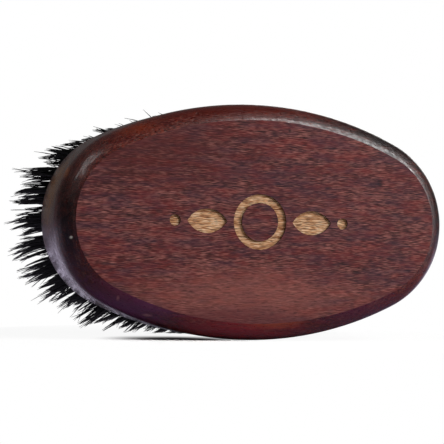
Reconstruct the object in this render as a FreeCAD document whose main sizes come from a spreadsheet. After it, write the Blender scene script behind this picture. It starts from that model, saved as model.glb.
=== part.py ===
import FreeCAD
import Part
import Sketcher
import math
import os
import random

# Palm beard brush: an oval block of stained beech whose bristle face is drilled with a ring of
# holes that follows the outline, and with staggered rows inside the ring. A tuft of bristle is
# folded round a flat wire anchor and driven into each hole, and the outer holes lean outwards, so
# that the bristle fans out past the block.
#
# The brush stands on its long edge: X runs along it, Z is up through its width, and Y runs from
# the flat back at -Y to the bristle tips at +Y. The origin lies on the ground, below the middle of
# the overall box. Every shape is drawn in the block's own frame, whose origin is the middle of the
# flat back, and is then seated by its Placement.

SIZES = (
    # alias, value in mm, degrees or a count, and what it is
    ("block_length", 95, "wooden block, end to end"),
    ("block_width", 55, "wooden block, across the palm"),
    ("block_thickness", 19, "flat back to bristle face"),
    ("end_radius", 21.5, "radius of each end of the oval"),
    ("round_over_radius", 6.5, "rounding between the side and the back"),
    ("round_over_trim", 0.5, "how much of that rounding the flat back is faced off"),
    ("face_edge_radius", 1.2, "eased edge round the bristle face"),
    ("motif_depth", 0.4, "depth of the engraved ornament"),
    ("motif_ring_radius", 6.4, "outer radius of the ornament's ring"),
    ("motif_ring_width", 2.0, "width of the ring's groove"),
    ("motif_gap", 1.6, "space between neighbouring parts of the ornament"),
    ("leaf_length", 9.5, "ornament's leaf, tip to tip"),
    ("leaf_width", 5.6, "ornament's leaf, across"),
    ("bead_radius", 1.3, "bead at each end of the ornament"),
    ("hole_margin", 5.5, "outline to the centres of the ring's holes"),
    ("ring_tufts", 42, "tufts in the ring, which starts at the middle of the right-hand end"),
    ("ring_to_rows", 5.0, "ring to the outermost holes of the rows inside it"),
    ("row_count", 15, "rows of tufts across the block, inside the ring"),
    ("tuft_pitch", 5.2, "wanted spacing of the tufts along a row"),
    ("end_row_setback", 1.5, "end rows, in from the ends of the field inside the ring"),
    ("hole_diameter", 2.8, "drilled hole of a tuft"),
    ("hole_depth", 9, "drilled hole, along its axis from the bristle face"),
    ("end_splay", 20, "outward lean of the tufts at the two ends, in degrees"),
    ("side_splay", 9.4, "outward lean of the tufts at the two sides, in degrees"),
    ("corner_splay", 16, "what that sideways lean grows to towards the two ends"),
    ("face_land", 2.2, "plain border round the slices of backing"),
    ("slice_thickness", 1.0, "slice of backing that joins the tufts of the ring or of a row"),
    ("slice_clearance", 0.05, "slice to slice and slice to block"),
    ("root_clearance", 0.05, "tuft root to the wall and floor of its hole"),
    ("bristle_length", 20, "bristle face to the trimmed tips"),
    ("trim_spread", 2.5, "how far short of the trim the shortest strands stay"),
    ("strand_root_width", 0.75, "square strand at the bristle face"),
    ("strand_tip_width", 0.5, "square strand at its tip"),
    ("strand_root_circle", 0.8, "strands' circle round the tuft's axis at the face"),
    ("strand_tip_circle", 2.1, "largest circle of the strands at the tips"),
    ("anchor_thickness", 0.35, "flat wire anchor, thin side"),
    ("anchor_height", 1.5, "flat wire anchor, along the hole"),
    ("anchor_bite", 0.6, "how far each end of the anchor cuts into the wood"),
    ("anchor_clearance", 0.03, "anchor to the wood and to the tuft"),
    ("fold_height", 0.9, "bristle folded round the underside of the anchor"),
)

STRANDS_PER_TUFT = 4
STRAND_KNEE = 0.55
KNEE_SPREAD = 0.4
TRIM_SEED = 17

doc = FreeCAD.newDocument("beard_brush")


def make_sheet():
    """The spreadsheet that holds every driving size under its alias."""
    sheet = doc.addObject("Spreadsheet::Sheet", "Sizes")
    for row, (alias, value, note) in enumerate(SIZES, start=1):
        sheet.set(f"A{row}", note)
        sheet.set(f"B{row}", str(value))
        sheet.setAlias(f"B{row}", alias)
    doc.recompute()
    return sheet


sheet = make_sheet()


def size(alias):
    """The number in one cell of the sheet."""
    return float(sheet.get(alias))


# ---- the oval outline: two round ends joined by two shallow side arcs ----

SIDE_RADIUS = (
    "((Sizes.block_length / 2 - Sizes.end_radius) ^ 2 + (Sizes.block_width / 2) ^ 2"
    " - Sizes.end_radius ^ 2) / (Sizes.block_width - 2 * Sizes.end_radius)"
)


def oval_arcs(inset):
    """The outline's four arcs, moved in by inset: right end, top side, left end, bottom side."""
    half_length = size("block_length") / 2
    half_width = size("block_width") / 2
    end = size("end_radius")
    reach = half_length - end
    side = (reach**2 + half_width**2 - end**2) / (2 * (half_width - end))
    drop = side - half_width
    turn = math.atan2(drop, reach)
    arcs = []
    for x, y, radius, middle, half_turn in (
        (reach, 0, end, 0, turn),
        (0, -drop, side, math.pi / 2, math.pi / 2 - turn),
        (-reach, 0, end, math.pi, turn),
        (0, drop, side, -math.pi / 2, math.pi / 2 - turn),
    ):
        circle = Part.Circle(
            FreeCAD.Vector(x, y, 0), FreeCAD.Vector(0, 0, 1), radius - inset
        )
        arcs.append(Part.ArcOfCircle(circle, middle - half_turn, middle + half_turn))
    return arcs


def attach(sketch, body, offset):
    """Lay a sketch on the body's XZ plane, moved towards the back by offset, an expression."""
    plane = next(f for f in body.Origin.OriginFeatures if f.Role == "XZ_Plane")
    sketch.AttachmentSupport = [(plane, "")]
    sketch.MapMode = "FlatFace"
    sketch.setExpression(".AttachmentOffset.Base.z", offset)


def bind(sketch, name, constraint, expression):
    """Add one dimension to a sketch, name it, and tie it to the sheet."""
    index = sketch.addConstraint(constraint)
    sketch.renameConstraint(index, name)
    sketch.setExpression(f"Constraints.{name}", expression)


def oval_sketch(body, name, offset, inset):
    """A closed, fully constrained sketch of the outline, moved in by the alias inset, if any."""
    sketch = body.newObject("Sketcher::SketchObject", name)
    attach(sketch, body, offset)
    inwards = size(inset) if inset else 0.0
    less = f" - Sizes.{inset}" if inset else ""
    right, top, left, bottom = (sketch.addGeometry(arc) for arc in oval_arcs(inwards))
    for one, other in ((right, top), (top, left), (left, bottom), (bottom, right)):
        sketch.addConstraint(Sketcher.Constraint("Tangent", one, 2, other, 1))
    for arc, axis in ((right, -1), (left, -1), (top, -2)):
        sketch.addConstraint(Sketcher.Constraint("PointOnObject", arc, 3, axis))
    for arc, opposite in ((right, left), (top, bottom)):
        sketch.addConstraint(Sketcher.Constraint("Equal", arc, opposite))
    half_span = size("block_length") / 2 - size("end_radius")
    bind(
        sketch,
        "EndCentre",
        Sketcher.Constraint("DistanceX", -1, 1, right, 3, half_span),
        "Sizes.block_length / 2 - Sizes.end_radius",
    )
    bind(
        sketch,
        "EndRadius",
        Sketcher.Constraint("Radius", right, size("end_radius") - inwards),
        f"Sizes.end_radius{less}",
    )
    bind(
        sketch,
        "SideRadius",
        Sketcher.Constraint("Radius", top, sketch.Geometry[top].Radius),
        f"{SIDE_RADIUS}{less}",
    )
    return sketch


# ---- the wooden block ----


def edges_at(feature, y):
    """Names of the feature's edges that lie in the plane at this depth."""
    names = []
    for index, edge in enumerate(feature.Shape.Edges, start=1):
        box = edge.BoundBox
        if abs(box.YMin - y) < 1e-4 and abs(box.YMax - y) < 1e-4:
            names.append(f"Edge{index}")
    return names


def pocket(body, sketch, length, towards_back):
    """Cut a sketch out of the body, over a length given as an expression."""
    cut = body.newObject("PartDesign::Pocket", sketch.Name.replace("_sketch", ""))
    cut.Profile = sketch
    cut.setExpression("Length", length)
    cut.Reversed = towards_back
    doc.recompute()
    return cut


def fillet(body, base, y, radius, name):
    """Round every edge of the base feature that lies at depth y."""
    rounding = body.newObject("PartDesign::Fillet", name)
    rounding.Base = (base, edges_at(base, y))
    rounding.setExpression("Radius", radius)
    doc.recompute()
    return rounding


def add_circle(sketch, name, x, radius, where, radius_expression):
    """A circle on the sketch's X axis, its centre and radius tied to the sheet."""
    centre = FreeCAD.Vector(x, 0, 0)
    circle = sketch.addGeometry(
        Part.Circle(centre, FreeCAD.Vector(0, 0, 1), radius)
    )
    if where:
        sketch.addConstraint(Sketcher.Constraint("PointOnObject", circle, 3, -1))
        bind(
            sketch,
            f"{name}Place",
            Sketcher.Constraint("DistanceX", -1, 1, circle, 3, x),
            where,
        )
    else:
        sketch.addConstraint(Sketcher.Constraint("Coincident", circle, 3, -1, 1))
    bind(
        sketch,
        f"{name}Radius",
        Sketcher.Constraint("Radius", circle, radius),
        radius_expression,
    )


def add_leaf(sketch, name, side, near, near_expression):
    """A leaf of two arcs that meet at its tips, on the side (1 or -1) of the middle."""
    length = size("leaf_length")
    half = size("leaf_width") / 2
    radius = (length**2 / 4 + half**2) / (2 * half)
    half_turn = math.asin(length / 2 / radius)
    middle = side * (near + length / 2)
    up = FreeCAD.Vector(0, 0, 1)
    upper = sketch.addGeometry(
        Part.ArcOfCircle(
            Part.Circle(FreeCAD.Vector(middle, half - radius, 0), up, radius),
            math.pi / 2 - half_turn,
            math.pi / 2 + half_turn,
        )
    )
    lower = sketch.addGeometry(
        Part.ArcOfCircle(
            Part.Circle(FreeCAD.Vector(middle, radius - half, 0), up, radius),
            -math.pi / 2 - half_turn,
            -math.pi / 2 + half_turn,
        )
    )
    sketch.addConstraint(Sketcher.Constraint("Coincident", upper, 1, lower, 2))
    sketch.addConstraint(Sketcher.Constraint("Coincident", upper, 2, lower, 1))
    sketch.addConstraint(Sketcher.Constraint("PointOnObject", upper, 1, -1))
    sketch.addConstraint(Sketcher.Constraint("PointOnObject", upper, 2, -1))
    sketch.addConstraint(Sketcher.Constraint("Equal", upper, lower))
    far_expression = f"{near_expression} + Sizes.leaf_length"
    if side > 0:
        right, left = far_expression, near_expression
    else:
        right, left = f"-({near_expression})", f"-({far_expression})"
    bind(
        sketch,
        f"{name}Right",
        Sketcher.Constraint("DistanceX", -1, 1, upper, 1, middle + length / 2),
        right,
    )
    bind(
        sketch,
        f"{name}Left",
        Sketcher.Constraint("DistanceX", -1, 1, upper, 2, middle - length / 2),
        left,
    )
    bind(
        sketch,
        f"{name}Radius",
        Sketcher.Constraint("Radius", upper, radius),
        "(Sizes.leaf_length ^ 2 + Sizes.leaf_width ^ 2) / (4 * Sizes.leaf_width)",
    )


def motif_sketch(body):
    """The ornament: a ring between two leaves, with a bead past each leaf."""
    sketch = body.newObject("Sketcher::SketchObject", "motif_sketch")
    attach(sketch, body, "0 mm")
    ring = size("motif_ring_radius")
    add_circle(sketch, "RingOuter", 0, ring, "", "Sizes.motif_ring_radius")
    add_circle(
        sketch,
        "RingInner",
        0,
        ring - size("motif_ring_width"),
        "",
        "Sizes.motif_ring_radius - Sizes.motif_ring_width",
    )
    leaf_start = ring + size("motif_gap")
    bead = leaf_start + size("leaf_length") + size("motif_gap") + size("bead_radius")
    leaf_place = "Sizes.motif_ring_radius + Sizes.motif_gap"
    bead_place = f"{leaf_place} + Sizes.leaf_length + Sizes.motif_gap + Sizes.bead_radius"
    for name, side in (("RightLeaf", 1), ("LeftLeaf", -1)):
        add_leaf(sketch, name, side, leaf_start, leaf_place)
    add_circle(sketch, "RightBead", bead, size("bead_radius"), bead_place, "Sizes.bead_radius")
    add_circle(
        sketch,
        "LeftBead",
        -bead,
        size("bead_radius"),
        f"-({bead_place})",
        "Sizes.bead_radius",
    )
    return sketch


def make_turned_block():
    """The block before drilling: padded, rounded over, faced off, eased, engraved and recessed."""
    body = doc.addObject("PartDesign::Body", "block_body")
    pad = body.newObject("PartDesign::Pad", "block_pad")
    pad.Profile = oval_sketch(body, "outline_sketch", "Sizes.round_over_trim", "")
    pad.setExpression("Length", "Sizes.block_thickness + Sizes.round_over_trim")
    pad.Reversed = True
    doc.recompute()
    rounded = fillet(
        body, pad, -size("round_over_trim"), "Sizes.round_over_radius", "round_over"
    )
    facing = oval_sketch(body, "flat_back_sketch", "0 mm", "")
    faced = pocket(body, facing, "2 * Sizes.round_over_trim", True)
    eased = fillet(
        body, faced, size("block_thickness"), "Sizes.face_edge_radius", "face_edge"
    )
    engraved = pocket(body, motif_sketch(body), "Sizes.motif_depth", False)
    recess = oval_sketch(
        body, "slice_recess_sketch", "-Sizes.block_thickness", "face_land"
    )
    recessed = pocket(body, recess, "Sizes.slice_thickness", True)
    volumes = [f.Shape.Volume for f in (pad, rounded, faced, eased, engraved, recessed)]
    if sorted(volumes, reverse=True) != volumes or len(set(volumes)) != len(volumes):
        raise RuntimeError(f"a feature of the block cut nothing: {volumes}")
    return body


# ---- the drilled field ----


def field_half_width(x, inset):
    """Half the width, at a place along the block, of the outline moved in by inset."""
    right, top, _, _ = oval_arcs(inset)
    if abs(x) > abs(top.StartPoint.x):
        return math.sqrt(max(right.Radius**2 - (abs(x) - right.Center.x) ** 2, 0.0))
    return math.sqrt(top.Radius**2 - x**2) + top.Center.y


class Tuft:
    """One drilled hole and what is driven into it, in the block's own frame."""

    def __init__(self, x, z):
        end, side, corner = (
            math.tan(math.radians(size(alias)))
            for alias in ("end_splay", "side_splay", "corner_splay")
        )
        along = x / (size("block_length") / 2 - size("hole_margin"))
        across = z / (size("block_width") / 2 - size("hole_margin"))
        self.x = x
        self.z = z
        self.lean_x = end * along
        self.lean_z = (side + (corner - side) * along**2) * across

    def centre_at(self, out):
        """Where the tuft's axis is, this far out of the bristle face."""
        return FreeCAD.Vector(
            self.x + self.lean_x * out,
            size("block_thickness") + out,
            self.z + self.lean_z * out,
        )

    def placement(self):
        """A frame whose Z runs out along the hole and whose X lies along the anchor."""
        out = FreeCAD.Vector(self.lean_x, 1, self.lean_z)
        along_row = FreeCAD.Vector(0, 0, 1)
        across = out.cross(along_row)
        turn = FreeCAD.Rotation(across.cross(out), across, out, "ZYX")
        return FreeCAD.Placement(self.centre_at(0), turn)

    def seated(self, shape):
        """A shape drawn in the hole's frame, moved to its hole."""
        shape.Placement = self.placement()
        return shape

    def cylinder(self, radius, bottom, top):
        """A cylinder on the hole's axis, between two places along it."""
        start = FreeCAD.Vector(0, 0, bottom)
        return self.seated(Part.makeCylinder(radius, top - bottom, start))

    def anchor(self, play):
        """The flat wire across the foot of the hole, or with play the slot that holds it."""
        length = size("hole_diameter") + 2 * size("anchor_bite") + 2 * play
        width = size("anchor_thickness") + 2 * play
        height = size("anchor_height") + 2 * play
        bottom = size("fold_height") - size("hole_depth") - play
        corner = FreeCAD.Vector(-length / 2, -width / 2, bottom)
        return self.seated(Part.makeBox(length, width, height, corner))

    def drill(self):
        """What the hole and the anchor's ends take out of the wood."""
        radius = size("hole_diameter") / 2
        hole = self.cylinder(radius, -size("hole_depth"), 2 * radius)
        return hole.fuse(self.anchor(size("anchor_clearance")))

    def root(self):
        """The folded end of the tuft that fills the hole, slotted for the anchor."""
        play = size("root_clearance")
        radius = size("hole_diameter") / 2 - play
        plug = self.cylinder(
            radius, play - size("hole_depth"), -size("slice_thickness") / 2
        )
        return plug.cut(self.anchor(size("anchor_clearance")))

    def strand(self, angle, tip_circle, length):
        """One square tapering strand that leaves the tuft's axis as it rises."""
        root_width = size("strand_root_width")
        tip_width = size("strand_tip_width")
        root_circle = size("strand_root_circle")
        sections = []
        for out, part, spread in (
            (-size("slice_thickness") / 2, 0.0, 0.0),
            (length * STRAND_KNEE, STRAND_KNEE, KNEE_SPREAD),
            (length, 1.0, 1.0),
        ):
            circle = root_circle + (tip_circle - root_circle) * spread
            width = root_width + (tip_width - root_width) * part
            aside = FreeCAD.Vector(math.cos(angle), 0, math.sin(angle)) * circle
            sections.append(square(self.centre_at(out) + aside, width, angle))
        return prism(sections)

    def strands(self, trim):
        """The tuft's strands, the first of them at full length."""
        turn = trim.uniform(0, math.pi / 2)
        made = []
        for index in range(STRANDS_PER_TUFT):
            short = trim.uniform(0.2, 1.0) * size("trim_spread") if index else 0.0
            wide = size("strand_tip_circle") * trim.uniform(0.7, 1.0)
            angle = turn + index * 2 * math.pi / STRANDS_PER_TUFT
            made.append(self.strand(angle, wide, size("bristle_length") - short))
        return made


def square(centre, width, angle):
    """The corners of a square across the bristles, turned by the angle."""
    corners = []
    for quarter in range(4):
        at = angle + math.pi / 4 + quarter * math.pi / 2
        corner = FreeCAD.Vector(math.cos(at), 0, math.sin(at)) * (width / math.sqrt(2))
        corners.append(centre + corner)
    return corners


def prism(sections):
    """A solid with flat faces through a list of matching closed sections."""
    faces = [
        Part.Face(Part.makePolygon([*ring, ring[0]])) for ring in (sections[0], sections[-1])
    ]
    for low, high in zip(sections, sections[1:]):
        for index in range(len(low)):
            after = (index + 1) % len(low)
            corners = [low[index], low[after], high[after], high[index], low[index]]
            faces.append(Part.Face(Part.makePolygon(corners)))
    solid = Part.Solid(Part.Shell(faces))
    if solid.Volume < 0:
        solid.reverse()
    return solid


def ring_tufts():
    """The tufts of the ring, evenly spaced along the inset outline from its right-hand end."""
    arcs = oval_arcs(size("hole_margin"))
    lengths = [arc.length() for arc in arcs]
    count = int(size("ring_tufts"))
    tufts = []
    for index in range(count):
        along = (sum(lengths) * index / count + lengths[0] / 2) % sum(lengths)
        for arc, length in zip(arcs, lengths):
            if along <= length:
                sweep = arc.LastParameter - arc.FirstParameter
                centre = arc.value(arc.FirstParameter + sweep * along / length)
                tufts.append(Tuft(centre.x, centre.y))
                break
            along -= length
    return tufts


def inner_margin():
    """How far the outermost holes of the rows lie from the outline."""
    return size("hole_margin") + size("ring_to_rows")


def row_places():
    """The places of the rows along the block, evenly spaced between the two end rows."""
    end_x = size("block_length") / 2 - inner_margin() - size("end_row_setback")
    count = int(size("row_count"))
    return [end_x * (2 * index / (count - 1) - 1) for index in range(count)]


def row_tufts(index, x):
    """The tufts of one row: odd and even counts take turns, so that the rows are staggered."""
    half = field_half_width(x, inner_margin())
    wanted = 2 * half / size("tuft_pitch") + 1
    parity = (index + 1) % 2
    count = max(2 * round((wanted - parity) / 2) + parity, 2 + parity)
    return [Tuft(x, half * (2 * place / (count - 1) - 1)) for place in range(count)]


def plate_of_backing(inset, thickness):
    """A plate from the slices' floor outwards, with the outline moved in by inset."""
    wire = Part.Wire([arc.toShape() for arc in oval_arcs(inset)])
    plate = Part.Face(wire).extrude(FreeCAD.Vector(0, 0, thickness))
    plate.rotate(FreeCAD.Vector(0, 0, 0), FreeCAD.Vector(1, 0, 0), 90)
    floor = size("block_thickness") - size("slice_thickness") + size("slice_clearance")
    plate.translate(FreeCAD.Vector(0, floor + thickness, 0))
    return plate


def ring_slice():
    """The band of the bristle face that the ring stands in."""
    play = size("slice_clearance")
    thickness = size("slice_thickness") - play
    border = size("hole_margin") + size("ring_to_rows") / 2 - play / 2
    inside = plate_of_backing(border, 2 * thickness)
    inside.translate(FreeCAD.Vector(0, -thickness / 2, 0))
    return plate_of_backing(size("face_land") + play, thickness).cut(inside)


def row_slice(index, places):
    """The slice of the bristle face that one row stands in, between its two neighbours."""
    play = size("slice_clearance")
    border = size("hole_margin") + size("ring_to_rows") / 2 + play / 2
    plate = plate_of_backing(border, size("slice_thickness") - play)
    pitch = places[1] - places[0]
    past = size("block_length")
    low = places[index] - (pitch / 2 - play / 2 if index else past)
    high = places[index] + (pitch / 2 - play / 2 if index < len(places) - 1 else past)
    corner = FreeCAD.Vector(low, 0, -past)
    return plate.common(Part.makeBox(high - low, past, 2 * past, corner))


# ---- the document ----


def seat(feature):
    """Stand the feature on its long edge, with the overall box centred over the origin."""
    depth = "-(Sizes.block_thickness + Sizes.bristle_length) / 2"
    feature.setExpression("Placement.Base.y", depth)
    feature.setExpression("Placement.Base.z", "Sizes.block_width / 2")


def add_shape(name, shape):
    """A feature with a shape of its own, seated like the block."""
    feature = doc.addObject("Part::Feature", name)
    feature.Shape = shape
    seat(feature)
    return feature


def make_brush():
    """Build every piece and return those that are written, each under its Label."""
    places = row_places()
    groups = [("ring", ring_tufts(), ring_slice())]
    for index, x in enumerate(places):
        name = f"row_{index + 1:02d}"
        groups.append((name, row_tufts(index, x), row_slice(index, places)))
    block_body = make_turned_block()
    seat(block_body)
    drills = [tuft.drill() for _, tufts, _ in groups for tuft in tufts]
    block = doc.addObject("Part::Cut", "wooden_block")
    block.Base = block_body
    block.Tool = add_shape("drill_pattern", Part.makeCompound(drills))
    block.Refine = False
    pieces = [block]
    trim = random.Random(TRIM_SEED)
    for name, tufts, backing in groups:
        grown = [tuft.root() for tuft in tufts]
        for tuft in tufts:
            grown += tuft.strands(trim)
        pieces.append(add_shape(f"bristle_{name}", backing.multiFuse(grown)))
        anchors = Part.makeCompound([tuft.anchor(0) for tuft in tufts])
        pieces.append(add_shape(f"anchor_{name}", anchors))
    for piece in pieces:
        piece.Label = piece.Name
    count = len(drills)
    print(f"{len(groups)} groups, {count} tufts, {count * STRANDS_PER_TUFT} strands")
    return pieces


def check(pieces):
    """Stop if any object failed to build or any piece isn't a valid solid."""
    doc.recompute()
    for thing in doc.Objects:
        if "Invalid" in thing.State or "Error" in thing.State:
            raise RuntimeError(f"{thing.Name} failed to build: {thing.State}")
    for piece in pieces:
        shape = piece.Shape
        if shape.isNull() or not shape.isValid() or not shape.Solids:
            raise RuntimeError(f"{piece.Label} has no valid solid")
        print(f"{piece.Label}: {len(shape.Solids)} solids, {shape.Volume:.1f} mm3")


def write(pieces):
    """Write one STEP file for each piece."""
    os.makedirs("parts", exist_ok=True)
    for piece in pieces:
        piece.Shape.exportStep(f"parts/{piece.Label}.step")


brush = make_brush()
check(brush)
write(brush)
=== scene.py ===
"""Looks of a palm beard brush: an oval block of dark-stained beech set with black bristle.

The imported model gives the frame, in metres: X runs along the brush, Z is up through its width,
and Y runs from the flat back (-Y) to the bristle tips (+Y). The brush stands on its long edge.
"""

import logging
import math
from dataclasses import dataclass, field
from enum import Enum
from functools import partial
from typing import Callable

import bpy
import numpy as np
from bpy.types import Material, Node, NodeSocket, NodeTree, Object
from mathutils import Matrix, Vector

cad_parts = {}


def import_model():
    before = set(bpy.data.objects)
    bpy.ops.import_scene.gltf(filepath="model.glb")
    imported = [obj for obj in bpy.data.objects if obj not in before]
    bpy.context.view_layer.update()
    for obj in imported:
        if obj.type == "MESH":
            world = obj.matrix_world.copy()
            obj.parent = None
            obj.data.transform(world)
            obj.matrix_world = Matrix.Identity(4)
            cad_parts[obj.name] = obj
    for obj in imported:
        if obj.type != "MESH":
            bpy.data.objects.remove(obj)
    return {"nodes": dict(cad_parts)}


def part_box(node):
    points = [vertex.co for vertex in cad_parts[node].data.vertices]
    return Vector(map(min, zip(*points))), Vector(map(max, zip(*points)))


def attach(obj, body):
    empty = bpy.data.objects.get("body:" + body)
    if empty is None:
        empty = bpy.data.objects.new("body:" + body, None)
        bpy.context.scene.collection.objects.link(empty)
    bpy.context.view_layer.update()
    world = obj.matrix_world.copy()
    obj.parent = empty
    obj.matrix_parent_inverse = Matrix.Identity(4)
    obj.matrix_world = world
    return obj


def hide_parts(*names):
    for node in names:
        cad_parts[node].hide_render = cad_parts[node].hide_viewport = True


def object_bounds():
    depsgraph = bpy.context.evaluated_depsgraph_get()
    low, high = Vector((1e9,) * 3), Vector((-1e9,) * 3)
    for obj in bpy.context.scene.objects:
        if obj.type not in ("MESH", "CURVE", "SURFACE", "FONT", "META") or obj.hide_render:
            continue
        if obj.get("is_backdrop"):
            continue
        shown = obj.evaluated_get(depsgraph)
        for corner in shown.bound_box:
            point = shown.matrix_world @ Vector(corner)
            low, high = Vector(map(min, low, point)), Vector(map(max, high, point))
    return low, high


MM = 0.001
# Two points that are closer than this, in metres, count as one.
TOUCHING = 1e-6
LOG = logging.getLogger("beard_brush")

# The function that adds a node to the tree in hand.
Adder = Callable[..., Node]
Pair = tuple[float, float]
Triple = tuple[float, float, float]


# ---- colours and nodes ----


def linear(colour: str) -> tuple[float, float, float, float]:
    """Turn an sRGB hex colour into the linear one that the shaders use.

    Args:
        colour: the colour as "#rrggbb".

    Returns:
        Linear red, green and blue, and an alpha of 1.
    """
    channels = [int(colour[i : i + 2], 16) / 255 for i in (1, 3, 5)]
    red, green, blue = (
        c / 12.92 if c <= 0.04045 else ((c + 0.055) / 1.055) ** 2.4 for c in channels
    )
    return red, green, blue, 1.0


def add_node(
    tree: NodeTree,
    kind: str,
    settings: dict[str | int, object] | None = None,
    links: dict[str | int, NodeSocket | Node] | None = None,
) -> Node:
    """Add one node to a tree, with its settings and links.

    Args:
        tree: the node tree.
        kind: the node's type name, without the "ShaderNode" that they all start with.
        settings: values by property name, or by the name or number of an input socket.
        links: what feeds an input socket, by its name or number: an output socket, or a
            node, which stands for its first output in use.

    Returns:
        The new node.
    """
    node = tree.nodes.new(f"ShaderNode{kind}")
    for name, value in (settings or {}).items():
        if isinstance(name, str) and hasattr(node, name):
            setattr(node, name, value)
        else:
            node.inputs[name].default_value = value
    for name, source in (links or {}).items():
        if isinstance(source, Node):
            source = next(socket for socket in source.outputs if socket.enabled)
        tree.links.new(source, node.inputs[name])
    return node


def new_material(name: str) -> tuple[Material, Adder, NodeSocket]:
    """Make a material that has only the object's coordinates so far.

    Args:
        name: the material's name.

    Returns:
        The material, the function that adds a node to it, and the position, in metres.
    """
    material = bpy.data.materials.new(name)
    material.use_nodes = True
    material.node_tree.nodes.clear()
    add = partial(add_node, material.node_tree)
    return material, add, add("TexCoord").outputs["Object"]


def span(levels: Pair = (0.0, 1.0), values: Pair = (0.0, 1.0)) -> dict[str, float]:
    """The settings that map a pair of levels to a pair of values."""
    return dict(zip(("From Min", "From Max", "To Min", "To Max"), (*levels, *values)))


def spread_from(add: Adder, place: NodeSocket, middle: Triple, reach: Triple) -> Node:
    """Measure how far a position lies from a middle, as a part of the reach along each axis.

    Args:
        add: adds a node.
        place: the position, in metres.
        middle: the middle, in metres.
        reach: how far is 1, in metres.

    Returns:
        The node that gives the measure.
    """
    scale = tuple(1 / size for size in reach)
    centred = tuple(-start / size for start, size in zip(middle, reach))
    laid = add("Mapping", {"Scale": scale, "Location": centred}, {"Vector": place})
    return add("VectorMath", {"operation": "LENGTH"}, {0: laid})


# ---- finishes ----


class Grain(Enum):
    """How a layer of wood figure is drawn out, along the frame's X, Y and Z, in mm.

    The grain runs along X. Scuffs are the sanding marks that run round the shaped edges.

    Beech's pores and rays are a few hundredths of a millimetre across, too fine to show, so the
    finest layers are drawn about twice as coarse as they are.
    """

    BLOTCH = (22.0, 8.0, 8.0)
    BAND = (12.0, 1.0, 1.0)
    HUE = (6.0, 1.5, 1.5)
    STREAK = (6.5, 0.32, 0.32)
    PORE = (1.9, 0.13, 0.13)
    RAY = (1.8, 0.22, 0.22)
    SCUFF = (1.1, 0.28, 5.0)


# The layers that make the figure, from coarse to fine: octaves of finer figure, and weight.
FIGURE = {
    Grain.BLOTCH: (2.0, 0.4),
    Grain.BAND: (2.0, 0.6),
    Grain.STREAK: (1.5, 0.75),
    Grain.PORE: (1.0, 3.1),
}


@dataclass(frozen=True)
class Patch:
    """A colour laid over the wood in one place: uneven stain, wear, or painted light, shade or
    reflection, as the comment at each patch says.

    Its middle and its reach are in mm, in the frame's axes.
    """

    middle: Triple
    reach: Triple
    colour: str
    strength: float


@dataclass(frozen=True)
class Hue:
    """A colour that the stain leans to here and there.

    The figure's noise is moved by the shift, and the colour sets in between the two levels.
    """

    colour: str
    strength: float
    shift: float
    grain: Grain = Grain.HUE
    levels: Pair = (0.42, 0.66)


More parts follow.
